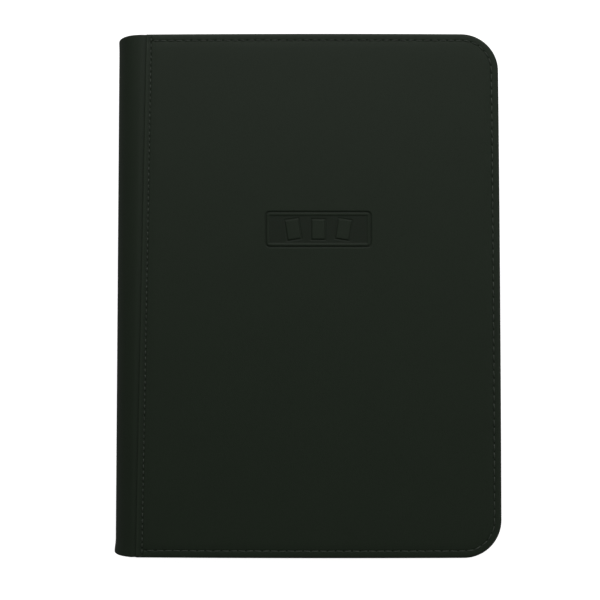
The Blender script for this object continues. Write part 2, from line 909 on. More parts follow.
def fall(distance, radius):
    """How far a rounded edge has fallen, at a distance in from it."""
    if distance >= radius:
        return 0.0
    inner = radius - max(0.0, distance)
    return radius - math.sqrt(max(0.0, radius * radius - inner * inner))


def bell(offset, width):
    """A smooth hump of height 1."""
    return math.exp(-((offset / width) ** 2))


def box_distance(x, y, half_w, half_h, radius):
    """How far a point is outside a rounded box, or inside it if less than 0."""
    dx = abs(x) - half_w + radius
    dy = abs(y) - half_h + radius
    outside = math.hypot(max(dx, 0.0), max(dy, 0.0))
    return outside + min(max(dx, dy), 0.0) - radius


# the emblem's cards: their width to their height, the angle between them and their gap
CARD_SHAPE = 0.71
CARD_FAN = 9
CARD_GAP = 6 * MM


def emblem_depth(x, y):
    """How deep the emblem is pressed at a point."""
    sizes = bpy.context.scene.binder_emblem
    x, y = x - sizes.x, y - sizes.y
    if abs(x) > sizes.width / 2 + MM or abs(y) > sizes.height / 2 + MM:
        return 0.0
    half = sizes.line / 2
    frame_off = box_distance(
        x, y, sizes.width / 2 - half, sizes.height / 2 - half, sizes.radius - half
    )
    near = abs(frame_off)
    standing = 0.0
    card_w = sizes.card * CARD_SHAPE
    for k in (-1, 0, 1):
        angle = math.radians(CARD_FAN * k)
        off = x - k * (card_w + CARD_GAP)
        cx = off * math.cos(angle) - y * math.sin(angle)
        cy = off * math.sin(angle) + y * math.cos(angle)
        card = box_distance(cx, cy, card_w / 2 - half, sizes.card / 2 - half, 0.3 * MM)
        near = min(near, abs(card))
        standing = max(standing, 1 - smooth(card, -0.9 * MM, -0.4 * MM))
    line = 1 - smooth(near, half * 0.45, half + 0.3 * MM)
    panel = sizes.panel * (1 - smooth(frame_off, -2.6 * MM, -1.7 * MM)) * (1 - standing)
    return max(sizes.depth * line, panel)


def cover_outline(bm, left, inset, segments=24):
    """A flat face on a cover's outline, square at the spine and round outside."""
    right, half = FORE_X - inset, HALF_H - inset
    verts = rectangle(bm, right - left, 2 * half, ((left + right) / 2, 0, 0))
    outer = [v for v in verts if v.co.x > CORNER_X]
    round_corners(bm, outer, CORNER_R - inset, segments)
    return next(iter(bm.faces))


def divide_edges(bm, step):
    """Cuts every edge longer than step into even lengths of about step."""
    for edge in bm.edges[:]:
        cuts = round(edge.calc_length() / step) - 1
        if cuts > 0:
            bmesh.ops.subdivide_edges(bm, edges=[edge], cuts=cuts)


def geometry_of(faces):
    """Faces with all their edges and vertices."""
    edges = {e for f in faces for e in f.edges}
    verts = {v for f in faces for v in f.verts}
    return list(faces) + list(edges) + list(verts)


def cut_grid(bm, geom, xs, ys):
    """Cuts geometry along planes across X and across Y."""
    for axis, places in (((1, 0, 0), xs), ((0, 1, 0), ys)):
        for place in places:
            geom = bmesh.ops.bisect_plane(
                bm, geom=geom, dist=1e-7, plane_no=axis,
                plane_co=(place * axis[0], place * axis[1], 0),
            )["geom"]
    return geom


def steps(low, high, size):
    """Even places from low to high, without the two ends."""
    count = max(1, round((high - low) / size))
    return [low + (high - low) * k / count for k in range(1, count)]


# where the leather is divided near its edges, in millimetres in from them
RINGS = [0.07, 0.28, 0.65, 1.1, 1.6, 2.1, 2.6, 3.0, 3.3, 3.6, 3.9, 4.2, 4.45, 4.7, 5.0]
RINGS += [5.3, 5.6, 6.1, 7.2, 8.7, 10.4]
HEM_BAND = RINGS[-1] * MM
STITCH_STEP = 1.35 * MM
FLAT_STEP = 9 * MM
EMBLEM_STEP = 0.36 * MM
# how far below the outer face the folded-under leather starts and ends to darken
UNDER_START, UNDER_END = 1.3 * MM, 2.3 * MM
# the hem's way round the edge, as inset and height above the inner face
HEM_TURNS = [(0.0, 1.15), (0.09, 0.72), (0.33, 0.35), (0.7, 0.1), (1.15, 0.0), (4.6, 0.0)]
# where the leather's edge has less room than this, in millimetres, the turns are squeezed
HEM_ROOM = 1.45


def inset_rings(bm, face, rings):
    """Insets a face again and again, to millimetres in from its edge."""
    done = 0.0
    for ring in rings:
        draw_in(bm, face, (ring - done) * MM)
        done = ring


def faces_within(bm, x0, x1, y0, y1):
    """The faces whose middle lies between two corners."""
    middles = ((face, face.calc_center_median()) for face in bm.faces)
    return [face for face, c in middles if x0 < c.x < x1 and y0 < c.y < y1]


def divide_leather(bm, emblem, fine):
    """Cuts the cover's outline finely near its edges, coarsely inside, and finely at the emblem."""
    face = cover_outline(bm, SEAM_X - 2 * HEM_BAND, 0.0)
    divide_edges(bm, STITCH_STEP)
    inset_rings(bm, face, RINGS)
    bmesh.ops.bisect_plane(
        bm, geom=everything(bm), dist=1e-7, plane_co=(SEAM_X, 0, 0), plane_no=(1, 0, 0),
        clear_inner=True,
    )
    cut_grid(bm, everything(bm), [SEAM_X + ring * MM for ring in RINGS], [])
    left, right = SEAM_X + HEM_BAND, FORE_X - HEM_BAND
    low, high = -HALF_H + HEM_BAND, HALF_H - HEM_BAND
    band = faces_within(bm, SEAM_X, left, low, high)
    cut_grid(bm, geometry_of(band), [], steps(low, high, STITCH_STEP))
    margin = 1.2 * MM
    x0, x1 = (emblem.x + side * (emblem.width / 2 + margin) for side in (-1, 1))
    y0, y1 = (emblem.y + side * (emblem.height / 2 + margin) for side in (-1, 1))
    xs = steps(left, x0, FLAT_STEP) + [x0, x1] + steps(x1, right, FLAT_STEP)
    ys = steps(low, y0, FLAT_STEP) + [y0, y1] + steps(y1, high, FLAT_STEP)
    cut_grid(bm, geometry_of(faces_within(bm, left, right, low, high)), xs, ys)
    if fine:
        patch = geometry_of(faces_within(bm, x0, x1, y0, y1))
        cut_grid(bm, patch, steps(x0, x1, EMBLEM_STEP), steps(y0, y1, EMBLEM_STEP))


def cover_leather(cover):
    """One cover's leather: the padded face, its folded edges and the hem turned in."""
    emblem = bpy.context.scene.binder_emblem
    bm = bmesh.new()
    divide_leather(bm, emblem, cover.name == "front")
    free = [
        e
        for e in bm.edges
        if e.is_boundary and not all(v.co.x < SEAM_X + 1e-6 for v in e.verts)
    ]
    wear = bm.verts.layers.float.new("wear")
    pressed = bm.verts.layers.float.new("pressed")
    plan = bm.verts.layers.float_vector.new("plan")
    for vert in bm.verts:
        vert[plan] = vert.co
    rims = turn_hem(bm, free, cover, plan)
    for vert in bm.verts:
        x, y, below = vert[plan]
        if vert not in rims:
            below = cover.depth(x, y)
        vert[wear] = cover.wear(x, y, below)
        vert[pressed] = smooth(below, UNDER_START, UNDER_END)
        if cover.name == "front" and below < UNDER_START:
            vert[pressed] = min(1.0, emblem_depth(x, y) / emblem.panel)
        vert.co = (*cover.lie(x, y), cover.z(below))
    bm.verts.layers.float_vector.remove(plan)
    face_out(bm, Vector((0, 0, cover.up)))
    made = make_piece(cover.name + "_leather", bm, "cover_leather", 60)
    wall(made, cover.leather.wall)
    settle(made, cover.body, "cover_leather", cover.name + "_skin")


def turn_hem(bm, edges, cover, plan):
    """Draws the leather down the free edges and in over the board's back."""
    rims = set()
    for inset, above in HEM_TURNS:
        made = bmesh.ops.extrude_edge_only(bm, edges=edges)["geom"]
        verts = verts_of(made)
        for vert in verts:
            x, y, _ = vert[plan]
            if x > CORNER_X and abs(y) > CORNER_Y:
                centre = Vector((CORNER_X, math.copysign(CORNER_Y, y)))
                out = (Vector((x, y)) - centre).normalized()
                rim = centre + out * (CORNER_R - inset * MM)
            elif x >= FORE_X - 5 * MM and abs(y) <= CORNER_Y:
                rim = Vector((FORE_X - inset * MM, y))
            else:
                rim = Vector((x, math.copysign(HALF_H - inset * MM, y)))
            inner = cover.inner(rim.x)
            room = inner - cover.depth(rim.x, math.copysign(HALF_H, y))
            vert[plan] = (rim.x, rim.y, inner - above * min(MM, room / HEM_ROOM))
        rims.update(verts)
        ends = set(verts)
        edges = [e for e in edges_of(made) if ends.issuperset(e.verts)]
    return rims


class BINDER_OT_cover_leather(bpy.types.Operator):
    """Make the leather of both covers, with the pressed emblem on the front"""

    bl_idname = "binder.cover_leather"
    bl_label = "Cover leather"

    def execute(self, context):
        for name in ("front", "back"):
            cover_leather(Cover(name))
        return {"FINISHED"}


class BINDER_OT_padding(bpy.types.Operator):
    """Make the two foam pads and finish the boards under the leather"""

    bl_idname = "binder.padding"
    bl_label = "Padding and boards"

    def execute(self, context):
        for name in ("front", "back"):
            foam_pad(Cover(name))
            dress(name + "_board", "greyboard")
        dress("spine_board", "greyboard")
        return {"FINISHED"}


# the pads: their inset, and how full they are so many millimetres in from their edge
PAD_INSET = 1.3 * MM
PAD_FULL = [(0.0, 0.25), (0.5, 0.45), (1.5, 0.62), (3.5, 0.8), (7.0, 0.93), (12.0, 1.0)]
# share of its thickness that an empty pad would lose, and its gap under the leather
PAD_LOSS = 0.55
PAD_GAP = 0.2 * MM


def foam_pad(cover):
    """A thin crowned pad that fills out the leather and thins towards its edges."""
    low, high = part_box(cover.name + "_foam")
    near, far = (low.z, high.z) if cover.up < 0 else (high.z, low.z)
    bm = bmesh.new()
    face = cover_outline(bm, BOARD_X, PAD_INSET, 12)
    fullness = {v: PAD_FULL[0][1] for v in bm.verts}
    for (done, _), (inset, full) in zip(PAD_FULL, PAD_FULL[1:]):
        draw_in(bm, face, (inset - done) * MM)
        fullness.update({v: full for v in bm.verts if v not in fullness})
    under = verts_of(bmesh.ops.duplicate(bm, geom=everything(bm))["geom"])
    for vert, full in fullness.items():
        top = near + (far - near) * (1 - full) * PAD_LOSS
        vert.co.z = top - cover.up * PAD_GAP
    for vert in under:
        vert.co.z = far
    bmesh.ops.bridge_loops(bm, edges=[e for e in bm.edges if e.is_boundary])
    close_up(bm)
    piece = make_piece(cover.name + "_pad", bm, "padding_foam", 60)
    settle(piece, cover.body, "padding_foam", cover.name + "_foam")


class BINDER_OT_linings(bpy.types.Operator):
    """Make the woven cloth panels inside both covers"""

    bl_idname = "binder.linings"
    bl_label = "Linings"

    def execute(self, context):
        for name in ("front", "back"):
            lining_panel(Cover(name))
        return {"FINISHED"}


LINING_INSET = 4.0 * MM
# the cloth's face stands just proud of the cover's inner face, and its edge sinks in
LINING_PROUD, LINING_SINK, LINING_EDGE = 0.02 * MM, 0.22 * MM, 0.6 * MM


def lining_panel(cover):
    """A cloth panel glued over the board and over the leather's hem."""
    bm = bmesh.new()
    face = cover_outline(bm, BOARD_X, LINING_INSET, 16)
    inset_rings(bm, face, (0.15, 0.5, 1.3))
    path = EdgePath(LINING_INSET, BOARD_X)
    for vert in bm.verts:
        _, inset = path.find(vert.co.x, vert.co.y)
        edge = 1 - smooth(min(inset - LINING_INSET, vert.co.x - BOARD_X), 0.0, LINING_EDGE)
        vert.co.z = cover.z(COVER_T + LINING_PROUD - LINING_SINK * edge)
    face_out(bm, Vector((0, 0, -cover.up)))
    made = make_piece(cover.name + "_lining_cloth", bm, "lining_cloth", 60)
    wall(made, 0.35 * MM)
    settle(made, cover.body, "lining", cover.name + "_lining")


# ---------------------------------------------------------------- the sewing


def stitch_bmesh(long, width):
    """One stitch along X, that dives into the leather at both ends."""
    bm = bmesh.new()
    made = bmesh.ops.create_uvsphere(bm, u_segments=8, v_segments=5, radius=width / 2)
    bmesh.ops.rotate(
        bm, verts=made["verts"], cent=(0, 0, 0), matrix=Matrix.Rotation(math.pi / 2, 3, "Y")
    )
    for side in (-1, 1):
        half = [v for v in bm.verts if v.co.x * side > 0]
        bmesh.ops.translate(bm, verts=half, vec=(side * (long - width) / 2, 0, 0))
    middle = [e for e in bm.edges if e.verts[0].co.x * e.verts[1].co.x < 0]
    bmesh.ops.subdivide_edges(bm, edges=middle, cuts=1)
    own_place(bm)
    for vert in bm.verts:
        vert.co.z -= 0.45 * width * (vert.co.x / (long / 2)) ** 2
    return bm


def sew(name, long, width, places, body, *nodes):
    """A row of stitches as one piece, each so long and so wide."""
    bm = stitch_bmesh(long, width)
    repeat(bm, places)
    made = make_piece(name, bm, "sewing_thread", 80)
    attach(made, body)
    if nodes:
        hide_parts(*nodes)


class BINDER_OT_stitching(bpy.types.Operator):
    """Sew the covers' edges and seams"""

    bl_idname = "binder.stitching"
    bl_label = "Stitching"

    def execute(self, context):
        for name in ("front", "back"):
            cover_stitches(Cover(name), context.scene.binder_stitches)
        return {"FINISHED"}


# edge stitches lean to either side by turns, in radians; seam stitches are shorter
STITCH_LEAN = 0.05
SEAM_SHARE = 0.8


def cover_stitches(cover, sizes):
    """The row round the free edges and the row along the spine's seam."""
    sink = cover.leather.groove - sizes.width * 0.6
    flip = 0.0 if cover.up > 0 else math.pi
    edge, seam = [], []
    for k in range(round(cover.path.length / cover.edge_pitch)):
        x, y, heading = cover.path.at((k + 0.5) * cover.edge_pitch)
        z = cover.z(cover.leather.hem_drop + sink)
        heading += STITCH_LEAN * (-1) ** k * cover.up
        edge.append(stand(*cover.lie(x, y), z, heading, flip))
    for k in range(round(2 * SEAM_STITCH_END / cover.seam_pitch)):
        y = -SEAM_STITCH_END + (k + 0.5) * cover.seam_pitch
        inner = smooth(HALF_H - abs(y), 0.0, 8 * MM)
        z = cover.z(cover.leather.hem_drop * (SEAM_HEM * inner + 1 - inner) + sink)
        seam.append(stand(*cover.lie(SEAM_X + SEAM_STITCH, y), z, math.pi / 2, flip))
    for row, long, places in (
        ("edge", cover.edge_pitch * sizes.share, edge),
        ("seam", cover.seam_pitch * (SEAM_SHARE * sizes.share), seam),
    ):
        name = f"{cover.name}_{row}"
        sew(name + "_stitches", long, sizes.width, places, cover.body, name + "_thread")


# ---------------------------------------------------------------- the spine


SPINE_AXIS = Vector((SEAM_X, 0, MID_Z))
# the strip that bends where the spine meets a cover, out from the spine's axis
HINGE_START = Vector((-9.25 * MM, 0, 16.0 * MM))
HINGE_END = Vector((-14.6 * MM, 0, 11.4 * MM))
# the spine's end in section, from its middle out, as drop and inset in millimetres
SPINE_ENDS = [(2.6, 7.0), (2.6, 1.2), (2.45, 0.55), (2.0, 0.12), (1.6, 0.0), (0.9, 0.0)]
SPINE_ENDS += [(0.4, 0.1), (0.1, 0.38), (0.0, 0.9), (0.0, 3.0), (0.0, 6.0), (0.0, 9.0), (0.0, 12.0)]
# the wing under the cover's leather, as runs and how far each draws in, in millimetres
WING_RUNS = [(0.8, 0.1), (1.2, 0.6), (7.0, 1.2)]
# how much of the spine's rolled ends is left after each run
WING_SQUEEZE = 0.55


def bend_at_hinge(made, side):
    """The piece bends between the spine and the cover on its side; side is +1 above."""
    start, end = (
        SPINE_AXIS + Vector((point.x, 0, side * point.z)) for point in (HINGE_START, HINGE_END)
    )
    if side < 0:
        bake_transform(made)
        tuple(start)
        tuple(end)
    else:
        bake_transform(made)
        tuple(end)
        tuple(start)


def spine_leather(side):
    """Half of the spine's leather, from its middle to under a cover's leather."""
    sizes = bpy.context.scene.binder_leather
    half = HALF_H - 0.3 * MM
    points = [(-MM * drop, MM * inset - half) for drop, inset in SPINE_ENDS]
    points += [(drop, -y) for drop, y in reversed(points)]
    bm = bmesh.new()
    edges = line_of(bm, [(SEAM_X, y, MID_Z + side * (SPINE_R + drop)) for drop, y in points])
    wing = edges
    crest = MID_Z + side * SPINE_R
    for run, pull in WING_RUNS:
        wing = push(bm, wing, (run * MM, 0, -side * 0.03 * MM))
        for vert in {v for e in wing for v in e.verts}:
            vert.co.y *= (half - pull * MM) / half
            vert.co.z = crest + (vert.co.z - crest) * WING_SQUEEZE
    round_spine(bm, edges, side, 28)
    wear = bm.verts.layers.float.new("wear")
    for vert in bm.verts:
        away = abs(vert.co.y)
        vert[wear] = 0.6 * smooth(away, half - 1.0 * MM, half)
        if vert.co.x < SEAM_X - MM:
            reach = 1.0 if vert.co.y < 0 else 0.3
            out = vert.co - SPINE_AXIS
            out.y = 0
            flare = sizes.flare * reach * smooth(away, half - 12 * MM, half) ** 2
            vert.co += out.normalized() * flare * smooth(SEAM_X - vert.co.x, 0, 14 * MM)
        x, v = vert.co.x, vert.co.y / HALF_H
        vert.co.z -= side * sizes.dip * smooth(x, SEAM_X - 3 * MM, SEAM_X - 0.5 * MM)
        vert.co.x -= sizes.bow * (1 - v * v) * smooth(SEAM_X - x, 0, SPINE_R)
        if side > 0:
            slope = sizes.slant * (vert.co.y - SLANT_MIDDLE)
            vert.co.x += slope * smooth(x, SEAM_X - 9 * MM, SEAM_X - 0.5 * MM)
    face_out(bm, Vector((0, 0, side)))
    spine_half("spine_leather", side, bm, "cover_leather", 0.5 * MM, "spine_skin")


def spine_half(name, side, bm, material, thickness, node):
    """Half of one of the spine's layers, as a piece that bends at its own hinge."""
    name += "_front" if side > 0 else "_back"
    made = make_piece(name, bm, material, 60)
    wall(made, thickness)
    bend_at_hinge(made, side)
    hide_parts(node)
    return made


def round_spine(bm, edges, side, count):
    """Spins edges round to the spine's middle, and lays the places out flat from there."""
    swing(bm, edges, (0, 1, 0), SPINE_AXIS, -side * math.pi / 2, count)
    bmesh.ops.remove_doubles(bm, verts=bm.verts, dist=1e-7)
    own_place(bm, lambda co: (arc_length(co), co.y, 0.0))


def arc_length(co):
    """How far round the spine a point lies, from its middle, with the wings laid on flat."""
    up = co.z - MID_Z
    if co.x >= SEAM_X:
        return math.copysign(SPINE_R * math.pi / 2 + co.x - SEAM_X, up)
    return SPINE_R * math.atan2(up, SEAM_X - co.x)


def spine_lining(side):
    """Half of the spine's lining, running on over the cover's lining."""
    radius = LINING_R - 0.2 * MM
    half = LINING_HALF
    ys = [inset * MM - half for inset in (0.0, 0.3, 4.0)]
    ys += [-y for y in reversed(ys)]
    bm = bmesh.new()
    edges = line_of(bm, [(SEAM_X, y, MID_Z + side * radius) for y in ys])
    run = BOARD_X + 3 * MM - SEAM_X
    count = 10
    drop = (MID_Z - radius) - (COVER_T + 0.12 * MM)
    strip, before = edges, 0.0
    for k in range(1, count + 1):
        after = smooth(k / count, 0.0, 0.92)
        strip = push(bm, strip, (run / count, 0, side * drop * (after - before)))
        before = after
    round_spine(bm, edges, side, 24)
    face_out(bm, Vector((0, 0, -side)))
    made = spine_half("spine_lining", side, bm, "lining_cloth", 0.3 * MM, "spine_lining")


class BINDER_OT_spine(bpy.types.Operator):
    """Make the spine's leather and lining, and finish its binding tape"""

    bl_idname = "binder.spine"
    bl_label = "Spine"

    def execute(self, context):
        for side in (1, -1):
            spine_leather(side)
            spine_lining(side)
        dress("binding_tape", "binding_weave")
        return {"FINISHED"}


# ---------------------------------------------------------------- the leaves


def leaf_core(number, sizes):
    """A leaf's black core sheet, from the binding tape to its outer edge."""
    node = f"leaf_{number:02d}"
    low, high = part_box(node)
    z = (low.z + high.z) / 2
    bend = low.x - 0.3 * MM
    left = SEAM_X - math.sqrt(BINDING_R**2 - (z - MID_Z) ** 2) + 0.1 * MM
    start, end = bend - 3 * MM, min(bend + 5 * MM, FIELD_X - 0.3 * MM)
    bm = bmesh.new()
    verts = rectangle(bm, high.x - left, high.y - low.y, ((left + high.x) / 2, 0, z))
    round_corners(bm, [v for v in verts if v.co.x > 0], sizes.corner, 8)
    cut_grid(bm, everything(bm), [start, end] + steps(start, end, 0.6 * MM), [])
    face_out(bm, OUT)
    made = make_piece(f"{node}_core", bm, "leaf_core", 60)
    wall(made, sizes.core, 0.0)
    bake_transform(made)
    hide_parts(node, "page_margins")


def pocket_sheet(bm, sizes):
    """One pocket's film: welded on three sides, and free at its mouth."""
    weld = sizes.weld / 2
    long = sizes.pocket_w + weld + sizes.mouth
    middle = (sizes.pocket_w + weld - sizes.mouth) / 2
    rectangle(bm, long, sizes.pocket_h + 2 * weld, (middle, sizes.pocket_h / 2, 0))
    face = next(iter(bm.faces))
    for thickness in (weld * 0.92, 0.7 * MM):
        draw_in(bm, face, thickness)
    top = set(face.verts)
    for vert in bm.verts:
        lift = sizes.depth + 0.02 * MM if vert in top else 0.03 * MM
        vert.co.z = sizes.core / 2 + lift
    bmesh.ops.bisect_plane(
        bm, geom=everything(bm), dist=1e-7, plane_co=(sizes.mouth, 0, 0), plane_no=(1, 0, 0),
        clear_inner=True,
    )
    layer = bm.verts.layers.float_vector.new("place")
    for vert in bm.verts:
        low = 1.0 if vert.co.z < sizes.core / 2 + 0.1 * MM else 0.0
        vert[layer] = (vert.co.x + vert.co.y, vert.co.y, low)


def leaf_film(number, sizes):
    """The clear film of a leaf's eighteen pockets."""
    node = f"leaf_{number:02d}"
    low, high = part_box(node)
    z = (low.z + high.z) / 2
    bm = bmesh.new()
    pocket_sheet(bm, sizes)
    face_out(bm, OUT)
    places = []
    for row in range(3):
        for column in range(3):
            x = FIELD_X + column * (sizes.pocket_w + sizes.weld)
            y = low.y + sizes.border + row * (sizes.pocket_h + sizes.weld)
            for side in (1, -1):
                turn = Matrix.Diagonal((1, 1, side, 1))
                places.append(Matrix.Translation((x, y, z)) @ turn)
    repeat(bm, places)
    bm.normal_update()
    under = [f for f in bm.faces if f.calc_center_median().z < z and f.normal.z > 0]
    bmesh.ops.reverse_faces(bm, faces=under)
    made = make_piece(f"{node}_film", bm, "pocket_film", 50)
    wall(made, sizes.film, 1.0)
    settle(made, node, "page_sheet", node)


class BINDER_OT_leaves(bpy.types.Operator):
    """Make the twenty leaves' core sheets"""

    bl_idname = "binder.leaves"
    bl_label = "Leaves"

    def execute(self, context):
        for number in range(1, LEAF_COUNT + 1):
            leaf_core(number, context.scene.binder_pages)
        return {"FINISHED"}


class BINDER_OT_pockets(bpy.types.Operator):
    """Make the clear pockets on both faces of each leaf"""

    bl_idname = "binder.pockets"
    bl_label = "Pockets"

    def execute(self, context):
        for number in range(1, LEAF_COUNT + 1):
            leaf_film(number, context.scene.binder_pages)
        return {"FINISHED"}


# ---------------------------------------------------------------- the zip


def on_cover(cover, z):
    """A height above the back cover's outer face, or its mirror for the front cover."""
    return TOP_Z - z if cover.up > 0 else z


TAPE_BEND = 1.6 * MM


def zip_tape(cover, sizes):
    """The woven tape: a flange sewn onto the lining, bent up into the wall of the zip."""
    middle = sizes.tape / 2
    wall_t = TAPE_INSET + middle
    floor_z = COVER_T + 0.05 * MM + middle
    profile = [(FLANGE_INSET, floor_z), (wall_t + TAPE_BEND, floor_z)]
    for k in range(1, 7):
        a = k / 6 * math.pi / 2
        across, up = TAPE_BEND * math.sin(a), TAPE_BEND * math.cos(a)
        profile.append((wall_t + TAPE_BEND - across, floor_z + TAPE_BEND - up))
    profile += [(wall_t, COIL_LO.z), (wall_t, TAPE_HI.z)]
    profile = [(t, on_cover(cover, z)) for t, z in profile]
    bm = bmesh.new()
    sweep_edges(bm, profile, BOARD_X)
    upright = [
        v for v in bm.verts
        if abs(v.co.x - BOARD_X) < 1e-6 and abs(v.co.y) > HALF_H - wall_t - 1e-5
    ]
    ends = [e for e in bm.edges if e.is_boundary and all(v in upright for v in e.verts)]
    push(bm, ends, (TAPE_LO.x - BOARD_X, 0, 0))
    path = EdgePath(TAPE_INSET, BOARD_X)

    def where(co):
        s, inset = path.find(co.x, co.y)
        return s, abs(co.z - on_cover(cover, floor_z)) - (inset - wall_t), 0.0

    own_place(bm, where)
    face_out(bm, Vector((1, 0, 0)))
    made = make_piece("zip_tape_" + cover.name + "_woven", bm, "zip_tape_weave", 60)
    wall(made, sizes.tape, 0.0)
    settle(made, cover.body, "zip_tape", "zip_tape_" + cover.name)


def coil_turn(sizes, high):
    """One turn of the coil, wound about X and flattened to the coil's section."""
    bm = bmesh.new()
    ring = MM
    made = bmesh.ops.create_circle(bm, segments=5, radius=sizes.wire / 2, cap_ends=False)
    bmesh.ops.translate(bm, verts=made["verts"], vec=(0, ring, 0))
    turns = 8
    bmesh.ops.spin(
        bm, geom=bm.verts[:] + bm.edges[:], axis=(1, 0, 0), cent=(0, 0, 0),
        dvec=(sizes.coil_pitch / turns, 0, 0), angle=2 * math.pi, steps=turns,
    )
    bmesh.ops.translate(bm, verts=bm.verts, vec=(-sizes.coil_pitch / 2, 0, 0))
    outer = ring + sizes.wire / 2
    flat = (1, (sizes.coil_depth / 2) / outer, (high / 2) / outer)
    bmesh.ops.scale(bm, verts=bm.verts, vec=flat)
    own_place(bm)
    bmesh.ops.recalc_face_normals(bm, faces=bm.faces)
    return bm


def zip_coil(cover, sizes):
    """The nylon coil, turn by turn along the three edges, on its cord."""
    low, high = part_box("zip_coil_" + cover.name)
    path = EdgePath(COIL_INSET + sizes.coil_depth / 2, COIL_LO.x)
    skip = 0.0
    if cover.up > 0:
        tail = [
            v.co.x
            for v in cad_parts["zip_coil_front"].data.vertices
            if v.co.y < -HALF_H + COIL_INSET + 1e-5
        ]
        skip = min(tail) - COIL_LO.x
    run = path.length - skip
    count = round(run / sizes.coil_pitch)
    pitch = run / count
    z = (low.z + high.z) / 2
    bm = coil_turn(sizes, high.z - low.z)
    repeat(bm, [path.stand_at(skip + (k + 0.5) * pitch, z) for k in range(count)])
    cord_along(bm, path, skip, z, 0.45 * MM)
    made = make_piece("zip_coil_" + cover.name + "_turns", bm, "nylon_coil", 70)
    settle(made, cover.body, "zip_coil", "zip_coil_" + cover.name)


def cord_along(bm, path, skip, z, radius):
    """The cord inside the coil."""
    layer = bm.verts.layers.float_vector["place"]
    run = path.length - skip
    count = round(run / (6 * MM))
    verts, rings = [], []
    for k in range(count + 1):
        made = bmesh.ops.create_circle(bm, segments=6, radius=radius, cap_ends=k in (0, count))
        turn = path.stand_at(skip + run * k / count, z) @ Matrix.Rotation(math.pi / 2, 4, "Y")
        bmesh.ops.transform(bm, matrix=turn, verts=made["verts"])
        verts += made["verts"]
        rings.append(list(dict.fromkeys(e for v in made["verts"] for e in v.link_edges)))
    for first, second in zip(rings, rings[1:]):
        bmesh.ops.bridge_loops(bm, edges=first + second)
    for vert in verts:
        vert[layer] = vert.co
    faces = list(dict.fromkeys(f for v in verts for f in v.link_faces))
    bmesh.ops.recalc_face_normals(bm, faces=faces)


def zip_sewing(cover, sizes):
    """The row of stitches that holds the tape's flange."""
    inset = (TAPE_INSET + FLANGE_INSET) / 2 + 0.8 * MM
    path = EdgePath(inset, BOARD_X + MM)
    pitch = even_pitch(path.length, 3.2 * MM)
    top = COVER_T + 0.05 * MM + sizes.tape
    z = on_cover(cover, top + 0.02 * MM)
    flip = math.pi if cover.up > 0 else 0.0
    count = round(path.length / pitch)
    places = [path.stand_at((k + 0.5) * pitch, z, flip) for k in range(count)]
    sew("zip_sewing_" + cover.name, pitch * 0.82, 0.5 * MM, places, cover.body)


class BINDER_OT_zip(bpy.types.Operator):
    """Make both halves of the zip and sew them in"""

    bl_idname = "binder.zip"
    bl_label = "Zip"

    def execute(self, context):
        sizes = context.scene.binder_zip
        for name in ("front", "back"):
            cover = Cover(name)
            zip_tape(cover, sizes)
            zip_coil(cover, sizes)
            zip_sewing(cover, sizes)
        return {"FINISHED"}


def slider_bmesh(sizes):
    """The slider's two plates, rolled edges, wedge and crown."""
    bm = bmesh.new()
    x0, x1 = SLIDER_LO.x, SLIDER_HI.x
    face_y = TAPE_INSET - HALF_H
    inner = SLIDER_HI.y
    half = (SLIDER_HI.z - SLIDER_LO.z) / 2
    waist = (x0 + x1) / 2 - 2 * MM
    plan = [(x0, -half * 0.78), (waist, -half * 0.86), (x1 - 5 * MM, -half), (x1, -half * 0.9)]
    plan += [(a, -b) for a, b in reversed(plan)]
    plan = [(a, b + MID_Z) for a, b in rounded(plan, 2.2 * MM, 5)]
    outer_top = face_y - sizes.clear
    slab(bm, plan, outer_top - sizes.plate, outer_top)
    slab(bm, plan, inner - sizes.plate, inner)
    rim_low = face_y + 0.6 * MM + sizes.clear
    for side in (-1, 1):
        a, b = sorted((MID_Z + side * half * 0.99, MID_Z + side * (half - sizes.rim)))
        bar = [(x0 + 4 * MM, a), (x1 - 3 * MM, a), (x1 - 3 * MM, b), (x0 + 4 * MM, b)]
        slab(bm, bar, rim_low, inner - sizes.plate / 2)
    gap = sizes.gap / 2 - sizes.clear
    wedge = [(x1 - 7 * MM, 0), (x1 - 4 * MM, gap), (x1 - 0.8 * MM, gap)]
    wedge += [(a, -b) for a, b in reversed(wedge[1:])]
    slab(bm, [(a, b + MID_Z) for a, b in wedge], outer_top - 0.3 * MM, inner - 0.3 * MM)
    bmesh.ops.recalc_face_normals(bm, faces=bm.faces)
    soften(bm, 0.4 * MM, 3)
    return bm


def collar(bm, outer, inner, low, high, place):
    """A plate on an outline with a hole in it, from low to high; gives its outline edges."""
    count = len(outer)
    rings = []
    for level in (low, high):
        for points in (outer, inner):
            ring = [bm.verts.new(place(a, b, level)) for a, b in points]
            rings.append([bm.edges.new((ring[k - 1], ring[k])) for k in range(count)])
    for first, second in ((0, 1), (2, 3), (0, 2), (1, 3)):
        bmesh.ops.bridge_loops(bm, edges=rings[first] + rings[second])
    bmesh.ops.recalc_face_normals(bm, faces=bm.faces)
    return [e for loop in rings for e in loop]


def round_about(x, y, radius, count):
    """Points round a circle."""
    angles = (2 * math.pi * (k + 0.5) / count for k in range(count))
    return [(x + radius * math.cos(a), y + radius * math.sin(a)) for a in angles]


